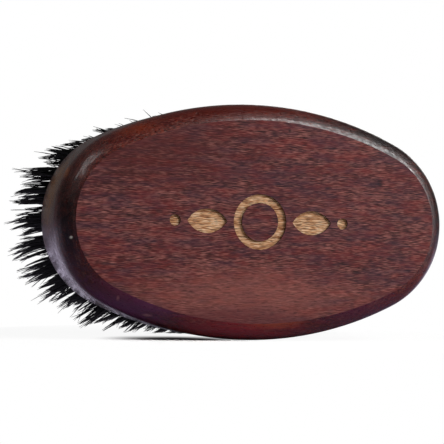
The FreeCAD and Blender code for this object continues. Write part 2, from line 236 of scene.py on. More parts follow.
@dataclass(frozen=True)
class Beech:
    """Steamed beech, shaped, sanded and wiped with a mahogany stain, then sealed.

    The pale wood takes the stain unevenly, so it is blotched and streaked along the grain, and
    the medullary rays soak up more of it and show as short dark dashes. The sealer leaves the
    sanded back nearly matt and the buffed edges satin.
    """

    name: str
    tones: tuple[str, ...]
    ray: str
    ray_strength: float
    relief: float
    contrast: float = 0.8
    roughness: Pair = (0.7, 0.85)
    specular: float = 0.3
    coat: float = 0.0
    coat_roughness: float = 0.3
    scuffing: float = 0.0
    ray_levels: Pair = (0.55, 0.68)
    ray_height: float = -0.5
    worn_levels: Pair = (0.35, 0.65)
    rubbed_levels: Pair = (0.36, 0.64)
    figure_roughness: float = 0.6
    ramp_ends: Pair = (0.1, 0.9)
    fraying: float = 0.9
    fade_levels: Pair = (1.45, 0.55)
    hues: tuple[Hue, ...] = ()
    patches: tuple[Patch, ...] = ()

    def noise(
        self,
        add: Adder,
        place: NodeSocket,
        grain: Grain,
        detail: float,
        shift: float = 0.0,
    ) -> Node:
        """Draw one layer of figure, with a middling value of about 0.5.

        Args:
            add: adds a node.
            place: the position to read, in metres.
            grain: the size of the figure.
            detail: octaves of finer figure.
            shift: how far the noise is moved, for a second layer of the same grain.

        Returns:
            The noise's node.
        """
        along, across, _ = grain.value
        # Each size of grain starts at an odd place of its own, so that no two layers line up.
        start = (3.1 * along + shift, 1.7 * across, 2.3 * along + shift)
        stretch = tuple(1 / (size * MM) for size in grain.value)
        laid = add("Mapping", {"Scale": stretch, "Location": start}, {"Vector": place})
        look = {"Scale": 1.0, "Detail": detail, "Roughness": self.figure_roughness}
        return add("TexNoise", look, {"Vector": laid})

    def tint(self, add: Adder, under: Node, colour: str, mask: Node, strength: float) -> Node:
        """Lay a colour over the one under it, at its full strength where the mask is 1."""
        amount = add("Math", {"operation": "MULTIPLY", 1: strength}, {0: mask})
        return add("Mix", {"data_type": "RGBA", 7: linear(colour)}, {0: amount, 6: under})

    def patch_mask(self, add: Adder, place: NodeSocket, patch: Patch, ragged: Node) -> Node:
        """Draw where a patch lies, fading out with a ragged edge.

        Args:
            add: adds a node.
            place: the position to read, in metres.
            patch: the patch.
            ragged: a noise that frays the patch's edge.

        Returns:
            The mask's node, 1 in the patch's middle and 0 outside it.
        """
        middle, reach = (
            tuple(size * MM for size in sizes) for sizes in (patch.middle, patch.reach)
        )
        away = spread_from(add, place, middle, reach)
        rough = {"operation": "MULTIPLY_ADD", 1: self.fraying}
        frayed = add("Math", rough, {0: ragged, 2: away})
        fade = {"interpolation_type": "SMOOTHSTEP", **span(self.fade_levels)}
        return add("MapRange", fade, {"Value": frayed})

    def figured(self, add: Adder, drawn: dict[Grain, Node]) -> Node:
        """Add up the layers of figure and turn them into the stain's tones.

        Args:
            add: adds a node.
            drawn: the layers by their grain.

        Returns:
            The node of the figured colour.
        """
        weights = [weight * self.contrast for _, weight in FIGURE.values()]
        figure = None
        for grain, weight in zip(FIGURE, weights):
            # The first layer is lowered, so that middling figure gives the middle tone.
            settings = {"operation": "MULTIPLY_ADD", 1: weight, 2: 0.5 - sum(weights) / 2}
            below = {2: figure} if figure else {}
            figure = add("Math", settings, {0: drawn[grain], **below})
        ramp = add("ValToRGB", links={"Fac": figure})
        stops = ramp.color_ramp.elements
        for _ in self.tones[2:]:
            stops.new(0.5)
        low, high = self.ramp_ends
        for number, tone in enumerate(self.tones):
            stops[number].position = low + (high - low) * number / (len(self.tones) - 1)
            stops[number].color = linear(tone)
        return ramp

    def material(self) -> Material:
        """Build the wood's material.

        Returns:
            The material.
        """
        material, add, place = new_material(self.name)
        drawn = {g: self.noise(add, place, g, detail) for g, (detail, _) in FIGURE.items()}
        colour = self.figured(add, drawn)
        for hue in self.hues:
            cloud = self.noise(add, place, hue.grain, 2.0, hue.shift)
            mask = add("MapRange", span(hue.levels), {"Value": cloud})
            colour = self.tint(add, colour, hue.colour, mask, hue.strength)
        for patch in self.patches:
            mask = self.patch_mask(add, place, patch, drawn[Grain.BAND])
            colour = self.tint(add, colour, patch.colour, mask, patch.strength)
        dashes = self.noise(add, place, Grain.RAY, 1.0)
        rays = add("MapRange", span(self.ray_levels), {"Value": dashes})
        colour = self.tint(add, colour, self.ray, rays, self.ray_strength)
        scuff = self.noise(add, place, Grain.SCUFF, 2.0)
        worn = add("Mix", {0: 0.5}, {2: drawn[Grain.STREAK], 3: scuff})
        rough = add("MapRange", span(self.worn_levels, self.roughness), {"Value": worn})
        sunk = {"operation": "MULTIPLY_ADD", 1: self.ray_height}
        height = add("Math", sunk, {0: rays, 2: drawn[Grain.PORE]})
        scratched = {"operation": "MULTIPLY_ADD", 1: self.scuffing}
        height = add("Math", scratched, {0: scuff, 2: height})
        wax = (2 * self.coat, 0.0)
        sealed = add("MapRange", span(self.rubbed_levels, wax), {"Value": scuff})
        bump = add("Bump", {"Strength": 1.0, "Distance": self.relief}, {"Height": height})
        sheen = {"Specular IOR Level": self.specular, "Coat Roughness": self.coat_roughness}
        surface = {"Base Color": colour, "Roughness": rough, "Normal": bump}
        shader = add("BsdfPrincipled", sheen, {"Coat Weight": sealed, **surface})
        add("OutputMaterial", links={"Surface": shader})
        return material


# Faced flat, sanded along the grain and wiped with stain: streaky, and nearly matt. Light and shade
# are painted into its colour as well.
SANDED_BACK = Beech(
    name="stained_beech_sanded",
    tones=("#280a0a", "#4c1e1c", "#6b3432", "#844743", "#a4655c"),
    ray="#2a1012",
    ray_strength=0.5,
    relief=0.03 * MM,
    contrast=1.0,
    roughness=(0.5, 0.65),
    specular=0.32,
    hues=(Hue("#7e1c1a", 0.5, 11.3), Hue("#3a2236", 0.5, 27.9)),
    patches=(
        # Painted shade: darker at the top left.
        Patch((-28, -19.5, 44), (34, 20, 13), "#56120c", 0.6),
        # Painted light: lighter towards the bottom middle.
        Patch((-2, -19.5, 10), (40, 20, 10), "#a45e52", 0.5),
        # Painted shade: darker along the bottom edge, where the flat meets the bend.
        Patch((-9, -19.5, 2), (40, 20, 9), "#5a1e26", 0.8),
        # Stain rubbed thin at the top left edge, and a dark speck.
        Patch((-31, -19.5, 47), (7, 20, 2.5), "#9a3c1c", 0.5),
        Patch((6.9, -19.5, 48.8), (0.7, 20, 0.7), "#1a0606", 0.9),
    ),
)

# Shaped round the edge, stained darker and buffed with wax: satin, with a bright glint along
# the bend, faint sanding marks, a nick and a few rubbed places.
# Light, shade and reflections are painted into its colour as well, as the comments below say.
BUFFED_EDGE = Beech(
    name="stained_beech_buffed",
    tones=("#1a0605", "#3a100c", "#561a13", "#70281c", "#92422e"),
    ray="#1c0806",
    ray_strength=0.35,
    relief=0.045 * MM,
    contrast=0.7,
    roughness=(0.24, 0.46),
    specular=0.5,
    coat=0.5,
    coat_roughness=0.13,
    scuffing=1.7,
    hues=(
        Hue("#6a1410", 0.35, 5.7),
        Hue("#36141f", 0.35, 19.1),
        Hue("#9a7468", 0.42, 2.3, Grain.SCUFF, (0.54, 0.74)),
    ),
    patches=(
        # Painted reflection: a violet sheen over the lower left bend.
        Patch((-32, -17, 8), (20, 9, 9), "#743268", 0.85),
        # A purplish band along the flat's edge at the lower left.
        Patch((-33, -19, 12), (13, 2.6, 6), "#6a1c30", 0.6),
        # Three pale scratches low on the left.
        Patch((-26.1, -17.6, 5.8), (1.8, 1.6, 0.5), "#c07c84", 0.8),
        Patch((-33.2, -18.4, 9.6), (0.5, 1.2, 1.3), "#b06c78", 0.8),
        Patch((-39.6, -17.6, 14.6), (1.3, 1.6, 0.5), "#b06c78", 0.7),
        # Painted reflection: a lilac sheen on the lower left wall.
        Patch((-44, -8, 16), (9, 14, 12), "#6c4470", 0.7),
        # Redder along the bottom, and purplish towards its right.
        Patch((-4, -17, 3), (24, 9, 5), "#9c1e2a", 0.75),
        Patch((24, -16, 8), (20, 12, 8), "#5c1e3c", 0.6),
        # Darker red along the top.
        Patch((-8, -15, 53), (30, 9, 6), "#521006", 0.85),
        # Painted shade: the bend along the top right and down the right-hand end, darkened nearly
        # to black.
        Patch((33, -16, 47), (34, 10, 16), "#180808", 1.0),
        Patch((47, -15, 32), (13, 12, 30), "#100a0c", 1.0),
        # Painted highlight: an orange glint low by the flat's edge.
        Patch((4, -19, 4.5), (10, 4, 2.5), "#b05630", 0.5),
        # Stain rubbed thin at the top left.
        Patch((-31, -18, 48.5), (8, 5, 3), "#8a3418", 0.6),
        # Painted shade: the left bend, darkened nearly to black.
        Patch((-44.5, -17.5, 27), (5, 4.5, 15), "#0c0304", 0.92),
        # Painted light: the upper left wall, lit olive-brown.
        Patch((-47, -8, 35), (9, 7.5, 15), "#a4600c", 1.0),
        # An orange spot on the left wall.
        Patch((-44.8, -14.4, 37.8), (2, 2, 2.4), "#c06418", 0.7),
        # A pale nick.
        Patch((-44.3, -18.7, 23.1), (0.6, 0.6, 0.45), "#f4ece4", 1.0),
    ),
)

# Bared by the engraver and left unstained: pale, dry and open-grained.
RAW_FLOOR = Beech(
    name="raw_beech_engraved",
    tones=("#865030", "#bc7e52", "#dca474", "#f0c094", "#fadab6"),
    ray="#54280e",
    ray_strength=0.75,
    relief=0.08 * MM,
)

# The engraving's walls, singed by the engraver on the way down, with the shade inside the cut
# painted in as well: brown-black and dull.
SCORCHED_AND_SHADED_WALL = Beech(
    name="scorched_and_shaded_beech_cut",
    tones=("#140805", "#241009", "#3a1d10", "#55301a", "#7a4c2c"),
    ray="#150906",
    ray_strength=0.4,
    relief=0.03 * MM,
)


@dataclass(frozen=True)
class BlackBristle:
    """Black boar bristle: a stiff natural hair with a waxy surface and split, browner tips."""

    name: str = "black_boar_bristle"
    root: str = "#020202"
    tip: str = "#100c0a"
    roughness: Pair = (0.32, 0.57)
    scale_length: float = 0.4 * MM
    ior: float = 1.55
    specular: float = 0.16

    def material(self) -> Material:
        """Build the bristle's material.

        Returns:
            The material, which reads how brown a hair is from the attribute "tone".
        """
        material, add, place = new_material(self.name)
        tone = add("Attribute", {"attribute_name": "tone"}).outputs["Fac"]
        ends = {"data_type": "RGBA", 6: linear(self.root), 7: linear(self.tip)}
        colour = add("Mix", ends, {0: tone})
        scales = {"Scale": 1 / self.scale_length, "Detail": 1.0}
        noise = add("TexNoise", scales, {"Vector": place})
        rough = add("MapRange", span(values=self.roughness), {"Value": noise})
        waxy = {"IOR": self.ior, "Specular IOR Level": self.specular}
        shader = add("BsdfPrincipled", waxy, {"Base Color": colour, "Roughness": rough})
        add("OutputMaterial", links={"Surface": shader})
        return material


@dataclass(frozen=True)
class FlatWire:
    """Galvanised flat wire, rolled and sheared, with a faintly uneven zinc surface."""

    name: str = "galvanised_flat_wire"
    colour: str = "#b9bcbf"
    roughness: Pair = (0.3, 0.5)
    spangle: float = 0.2 * MM

    def material(self) -> Material:
        """Build the wire's material.

        Returns:
            The material.
        """
        material, add, place = new_material(self.name)
        noise = add("TexNoise", {"Scale": 1 / self.spangle, "Detail": 2.0}, {"Vector": place})
        rough = add("MapRange", span(values=self.roughness), {"Value": noise})
        zinc = {"Base Color": linear(self.colour), "Metallic": 1.0}
        shader = add("BsdfPrincipled", zinc, {"Roughness": rough})
        add("OutputMaterial", links={"Surface": shader})
        return material


# ---- modelling by hand ----


def start_piece(name: str) -> Object:
    """Name the primitive that was just added, alone selected, and open it for editing.

    Args:
        name: the piece's name.

    Returns:
        The piece.
    """
    piece = bpy.context.active_object
    piece.name = name
    piece.data.name = name
    bpy.ops.object.mode_set(mode="EDIT")
    bpy.ops.mesh.select_mode(type="VERT")
    return piece


def select_only(pieces: list[Object]) -> None:
    """Select these pieces and nothing else, with the first one active.

    Args:
        pieces: the pieces.
    """
    bpy.ops.object.select_all(action="DESELECT")
    for piece in pieces:
        piece.select_set(True)
    bpy.context.view_layer.objects.active = pieces[0]


def finish_piece(piece: Object) -> Object:
    """Close a piece's editing and write its place into its mesh.

    Args:
        piece: the piece, open for editing.

    Returns:
        The same piece.
    """
    bpy.ops.object.mode_set(mode="OBJECT")
    select_only([piece])
    bpy.ops.object.transform_apply(location=True, rotation=True, scale=True)
    return piece


def select_edges(piece: Object, wanted: Callable[[Vector, Vector], bool]) -> None:
    """Select the edges of a piece that is open for editing, by where their ends lie.

    Args:
        piece: the piece.
        wanted: says of an edge's two ends whether it is selected.
    """
    bpy.ops.mesh.select_mode(type="EDGE")
    bpy.ops.mesh.select_all(action="DESELECT")
    bpy.ops.object.mode_set(mode="OBJECT")
    vertices = piece.data.vertices
    for edge in piece.data.edges:
        edge.select = wanted(*(vertices[number].co for number in edge.vertices))
    bpy.ops.object.mode_set(mode="EDIT")


def face_outwards() -> None:
    """Turn every face of the piece that is open for editing outwards."""
    bpy.ops.mesh.select_all(action="SELECT")
    bpy.ops.mesh.normals_make_consistent(inside=False)


def pull_out(depth: float) -> None:
    """Pull the selected face along Y, which makes a closed piece of it."""
    bpy.ops.mesh.extrude_region_move(TRANSFORM_OT_translate={"value": (0, depth, 0)})
    face_outwards()


def thicken(piece: Object, depth: float) -> Object:
    """Give a flat outline its depth and finish it."""
    pull_out(depth)
    return finish_piece(piece)


@dataclass(frozen=True)
class Sweep:
    """One arc of an outline: its centre in the XZ plane, its angle and its number of steps."""

    x: float
    z: float
    angle: float
    steps: int


def spin_outline(name: str, start: Pair, y: float, sweeps: list[Sweep]) -> Object:
    """Draw a closed outline by spinning one point through a chain of arcs, and fill it.

    Args:
        name: the piece's name.
        start: where the point starts, as X and Z.
        y: the depth of the outline's plane.
        sweeps: the arcs, anticlockwise as seen from -Y.

    Returns:
        The piece, open for editing, with its filled face selected.
    """
    bpy.ops.object.select_all(action="DESELECT")
    bpy.ops.mesh.primitive_plane_add(size=MM)
    piece = start_piece(name)
    bpy.ops.mesh.merge(type="CENTER")
    bpy.ops.transform.translate(value=(start[0], y, start[1]))
    for sweep in sweeps:
        centre = (sweep.x, y, sweep.z)
        bpy.ops.mesh.spin(steps=sweep.steps, angle=sweep.angle, center=centre, axis=(0, 1, 0))
    bpy.ops.mesh.select_all(action="SELECT")
    bpy.ops.mesh.remove_doubles(threshold=TOUCHING)
    bpy.ops.mesh.edge_face_add()
    return piece


def cut_away(piece: Object, cutter: Object) -> None:
    """Cut one closed piece out of another and delete the cutter.

    Args:
        piece: the piece that is cut.
        cutter: the piece that is taken out of it.
    """
    select_only([piece])
    cut = piece.modifiers.new("cut", "BOOLEAN")
    cut.operation = "DIFFERENCE"
    cut.solver = "EXACT"
    cut.object = cutter
    bpy.ops.object.modifier_apply(modifier=cut.name)
    bpy.data.objects.remove(cutter, do_unlink=True)


def join(pieces: list[Object]) -> Object:
    """Join pieces into the first of them.

    Args:
        pieces: the pieces.

    Returns:
        The first piece, with the others in it.
    """
    select_only(pieces)
    bpy.ops.object.join()
    return pieces[0]


# ---- the oval and its drilled field ----


@dataclass(frozen=True)
class Arc:
    """One arc of the oval: its centre, its radius, and the angles where it starts and ends."""

    x: float
    z: float
    radius: float
    start: float
    end: float

    @property
    def length(self) -> float:
        """The arc's length."""
        return self.radius * (self.end - self.start)

    def point(self, part: float) -> Pair:
        """The place a part of the way along the arc."""
        angle = self.start + (self.end - self.start) * part
        return self.x + self.radius * math.cos(angle), self.z + self.radius * math.sin(angle)


@dataclass
class Oval:
    """The four-arc outline that the block, its drilled field and its bristle share."""

    length: float
    width: float
    end_radius: float = 21.5 * MM

    @property
    def reach(self) -> float:
        """How far each round end's centre lies from the middle."""
        return self.length / 2 - self.end_radius

    @property
    def side_radius(self) -> float:
        """The radius with which a long arc runs on smoothly from the round ends."""
        over = self.reach**2 + (self.width / 2) ** 2 - self.end_radius**2
        return over / (self.width - 2 * self.end_radius)

    @property
    def drop(self) -> float:
        """How far each long arc's centre lies past the middle."""
        return self.side_radius - self.width / 2

    @property
    def turn(self) -> float:
        """Half the angle of a round end."""
        return math.atan2(self.drop, self.reach)

    def arcs(self, inset: float) -> list[Arc]:
        """Give the outline's arcs.

        Args:
            inset: how far the outline is moved in.

        Returns:
            The arcs of the right end, the top side, the left end and the bottom side.
        """
        end, side = self.end_radius - inset, self.side_radius - inset
        turn, half = self.turn, math.pi
        return [
            Arc(self.reach, 0, end, -turn, turn),
            Arc(0, -self.drop, side, turn, half - turn),
            Arc(-self.reach, 0, end, half - turn, half + turn),
            Arc(0, self.drop, side, half + turn, 2 * half - turn),
        ]

    def half_width_at(self, x: float, inset: float) -> float:
        """Measure the oval across, at one place along it.

        Args:
            x: the place along the oval, from its middle.
            inset: how far the outline is moved in.

        Returns:
            Half the width there.
        """
        side = self.side_radius - inset
        if abs(x) > side * math.cos(self.turn):
            end = self.end_radius - inset
            return math.sqrt(max(end**2 - (abs(x) - self.reach) ** 2, 0.0))
        return math.sqrt(side**2 - x**2) - self.drop


@dataclass(frozen=True)
class Tuft:
    """One tuft: where it leaves the bristle face and how far it leans for each metre out."""

    x: float
    z: float
    lean_x: float
    lean_z: float


@dataclass
class DrilledField:
    """The holes of the bristle face: a ring along the outline, and staggered rows inside it."""

    oval: Oval
    height: float
    rows: int
    ring_count: int = 42
    margin: float = 5.5 * MM
    ring_to_rows: float = 5.0 * MM
    pitch: float = 5.2 * MM
    setback: float = 1.5 * MM
    hole_diameter: float = 2.8 * MM
    end_splay: float = math.radians(20)
    side_splay: float = math.radians(9.4)
    corner_splay: float = math.radians(16)

    def tuft(self, x: float, z: float) -> Tuft:
        """Seat a tuft on the face.

        Args:
            x: its place along the block, from the block's middle.
            z: its place across the block, from the block's middle.

        Returns:
            The tuft, with its lean.
        """
        along = x / (self.oval.length / 2 - self.margin)
        across = z / (self.oval.width / 2 - self.margin)
        side, corner = math.tan(self.side_splay), math.tan(self.corner_splay)
        lean_z = (side + (corner - side) * along**2) * across
        return Tuft(x, z + self.height, math.tan(self.end_splay) * along, lean_z)

    def ring(self) -> list[Tuft]:
        """Space the ring evenly along the inset outline.

        Returns:
            The ring's tufts, from the middle of the right-hand end.
        """
        arcs = self.oval.arcs(self.margin)
        whole = sum(arc.length for arc in arcs)
        tufts = []
        for index in range(self.ring_count):
            along = (whole * index / self.ring_count + arcs[0].length / 2) % whole
            for arc in arcs:
                if along <= arc.length:
                    tufts.append(self.tuft(*arc.point(along / arc.length)))
                    break
                along -= arc.length
        return tufts

    def row(self, index: int) -> list[Tuft]:
        """Space one row across the block, where odd and even counts take turns.

        Args:
            index: the row's number from the left-hand end, from 0.

        Returns:
            The row's tufts, from the lowest up.
        """
        inset = self.margin + self.ring_to_rows
        end_x = self.oval.length / 2 - inset - self.setback
        x = end_x * (2 * index / (self.rows - 1) - 1)
        half = self.oval.half_width_at(x, inset)
        parity = (index + 1) % 2
        wanted = 2 * half / self.pitch + 1
        count = max(2 * round((wanted - parity) / 2) + parity, 2 + parity)
        return [self.tuft(x, half * (2 * place / (count - 1) - 1)) for place in range(count)]

    def groups(self) -> dict[str, list[Tuft]]:
        """The tufts by the group that the frame has a node for."""
        rows = {f"row_{index + 1:02d}": self.row(index) for index in range(self.rows)}
        return {"ring": self.ring(), **rows}

    def all_tufts(self) -> list[Tuft]:
        """Every tuft of the brush."""
        return [tuft for tufts in self.groups().values() for tuft in tufts]


# ---- the wooden block ----


class BlockFace(Enum):
    """The finishes of the block, in the order of its material slots."""

    SANDED = SANDED_BACK
    BUFFED = BUFFED_EDGE
    ENGRAVED = RAW_FLOOR
    SCORCHED_AND_SHADED = SCORCHED_AND_SHADED_WALL


@dataclass
class Ornament:
    """The engraved ornament: a ring between two leaves, with a bead past each leaf.

    Its cutters stand proud of the flat back, to cut it cleanly.
    """

    depth: float = 0.4 * MM
    ring_radius: float = 6.4 * MM
    ring_width: float = 2.0 * MM
    gap: float = 1.6 * MM
    leaf_length: float = 9.5 * MM
    leaf_width: float = 5.6 * MM
    bead_radius: float = 1.3 * MM
    proud: float = 1.0 * MM
    core_proud: float = 1.75 * MM
    core_length: float = 2.1 * MM
    ring_steps: int = 32
    bead_steps: int = 16
    leaf_steps: int = 24

    def disc(
        self, x: float, z: float, y: float, depth: float, radius: float, steps: int
    ) -> Object:
        """Make a round cutter from two half turns of so many steps."""
        halves = [Sweep(x, z, math.pi, steps)] * 2
        return thicken(spin_outline("ornament_disc", (x + radius, z), y, halves), depth)

    def leaf(self, x: float, z: float, y: float) -> Object:
        """Make a leaf-shaped cutter, with a point at each end.

        Args:
            x: the place of the leaf's middle along the block.
            z: its height.
            y: the depth of the leaf's front.

        Returns:
            The cutter.
        """
        half = self.leaf_width / 2
        radius = (self.leaf_length**2 / 4 + half**2) / (2 * half)
        angle = 2 * math.asin(self.leaf_length / 2 / radius)
        away = (half - radius, radius - half)
        arcs = [Sweep(x, z + drop, angle, self.leaf_steps) for drop in away]
        start = (x + self.leaf_length / 2, z)
        outline = spin_outline("ornament_leaf", start, y, arcs)
        return thicken(outline, self.depth + self.proud)

    def cutter(self, back: float, height: float) -> Object:
        """Make everything that the engraving takes out of the flat back.

        Args:
            back: the depth of the flat back.
            height: the height of the block's middle.

        Returns:
            One closed piece to cut with.
        """
        front, depth = back - self.proud, self.depth + self.proud
        steps, inner = self.ring_steps, self.ring_radius - self.ring_width
        ring = self.disc(0, height, front, depth, self.ring_radius, steps)
        # The wood inside the ring stays. It stops 0.05 mm above the floor, which can't be seen.
        core = self.disc(0, height, back - self.core_proud, self.core_length, inner, steps)
        cut_away(ring, core)
        leaf = self.ring_radius + self.gap + self.leaf_length / 2
        bead = self.ring_radius + 2 * self.gap + self.leaf_length + self.bead_radius
        parts = [ring]
        for side in (-1, 1):
            parts.append(self.leaf(side * leaf, height, front))
            place = (side * bead, height, front, depth)
            parts.append(self.disc(*place, self.bead_radius, self.bead_steps))
        return join(parts)


@dataclass
class WoodenBlock:
    """The palm block: outline, rounding, engraving and the mouths of the drilled holes."""

    oval: Oval
    back: float
    face: float
    height: float
    field: DrilledField
    ornament: Ornament = field(default_factory=Ornament)
    round_over_radius: float = 6.5 * MM
    round_over_trim: float = 0.5 * MM
    round_over_steps: int = 16
    face_edge_radius: float = 1.2 * MM
    face_edge_steps: int = 5
    crisp_edge: float = 0.12 * MM
    crisp_edge_steps: int = 2
    hole_shown: float = 2.0 * MM
    hole_sides: int = 20
    hole_bevel: float = 0.2 * MM
    end_steps: int = 84
    side_steps: int = 110
    smooth_angle: float = math.radians(18)
    level: float = 0.99
    upright: float = 0.1

    def bevel_rim(self, piece: Object, y: float, offset: float, steps: int) -> None:
        """Bevel the edges that lie across the block at one depth."""
        select_edges(piece, lambda *ends: all(abs(end.y - y) < TOUCHING for end in ends))
        bpy.ops.mesh.bevel(offset=offset, segments=steps, affect="EDGES")

    def turned(self) -> Object:
        """Shape the block before it is engraved and drilled.

        Returns:
            The block.
        """
        arcs = self.oval.arcs(0.0)
        steps = [self.end_steps, self.side_steps] * 2
        sweeps = [
            Sweep(arc.x, arc.z, arc.end - arc.start, count) for arc, count in zip(arcs, steps)
        ]
        piece = spin_outline("beech_block", arcs[0].point(0.0), self.face, sweeps)
        uncut = self.back - self.round_over_trim
        pull_out(uncut - self.face)
        self.bevel_rim(piece, uncut, self.round_over_radius, self.round_over_steps)
        bpy.ops.mesh.select_all(action="SELECT")
        bpy.ops.mesh.bisect(
            plane_co=(0, self.back, 0), plane_no=(0, -1, 0), use_fill=True, clear_outer=True
        )
        self.bevel_rim(piece, self.face, self.face_edge_radius, self.face_edge_steps)
        self.bevel_rim(piece, self.back, self.crisp_edge, self.crisp_edge_steps)
        face_outwards()
        finish_piece(piece)
        piece.data.transform(Matrix.Translation((0, 0, self.height)))
        return piece

    def hole_cutters(self) -> Object:
        """Make one drill for each tuft, copied from the first.

        Returns:
            The drills as one piece.
        """
        tufts = self.field.all_tufts()
        radius = self.field.hole_diameter / 2
        bpy.ops.object.select_all(action="DESELECT")
        bpy.ops.mesh.primitive_cylinder_add(
            vertices=self.hole_sides, radius=radius, depth=2 * self.hole_shown
        )
        drill = start_piece("hole_drill")
        bpy.ops.mesh.select_all(action="SELECT")
        bpy.ops.mesh.bevel(offset=self.hole_bevel, segments=1, affect="EDGES")
        finish_piece(drill)
        drills = [drill]
        for _ in tufts[1:]:
            copy = drill.copy()
            copy.data = drill.data.copy()
            bpy.context.collection.objects.link(copy)
            drills.append(copy)
        for tuft, piece in zip(tufts, drills):
            out = Vector((tuft.lean_x, 1, tuft.lean_z)).normalized()
            turn = out.to_track_quat("Z", "Y").to_matrix().to_4x4()
            piece.data.transform(Matrix.Translation((tuft.x, self.face, tuft.z)) @ turn)
        return join(drills)

    def dress(self, piece: Object) -> None:
        """Give each face of the block its finish, by where it lies and where it points.

        Args:
            piece: the block.
        """
        order = list(BlockFace)
        for finish in order:
            piece.data.materials.append(finish.value.material())
        floor = self.back + self.ornament.depth
        bound = self.oval.reach
        for face in piece.data.polygons:
            centre, facing = face.center, face.normal.y
            inside = abs(centre.x) < bound and abs(centre.z - self.height) < bound / 2
            if centre.y < self.back + TOUCHING and facing < -self.level:
                finish = BlockFace.SANDED
            elif inside and abs(centre.y - floor) < 10 * TOUCHING and facing < -self.level:
                finish = BlockFace.ENGRAVED
            # The engraving's walls take the scorched finish, which has the cut's shade painted into
            # it.
            elif inside and centre.y < floor and abs(facing) < self.upright:
                finish = BlockFace.SCORCHED_AND_SHADED
            else:
                finish = BlockFace.BUFFED
            face.material_index = order.index(finish)

    def build(self) -> Object:
        """Model the block, dress it and hand it to the frame.

        Returns:
            The finished block.
        """
        piece = self.turned()
        cut_away(piece, self.ornament.cutter(self.back, self.height))
        cut_away(piece, self.hole_cutters())
        self.dress(piece)
        bpy.ops.object.shade_smooth_by_angle(angle=self.smooth_angle)
        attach(piece, "root")
        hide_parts("wooden_block")
        return piece


# ---- the bristle ----


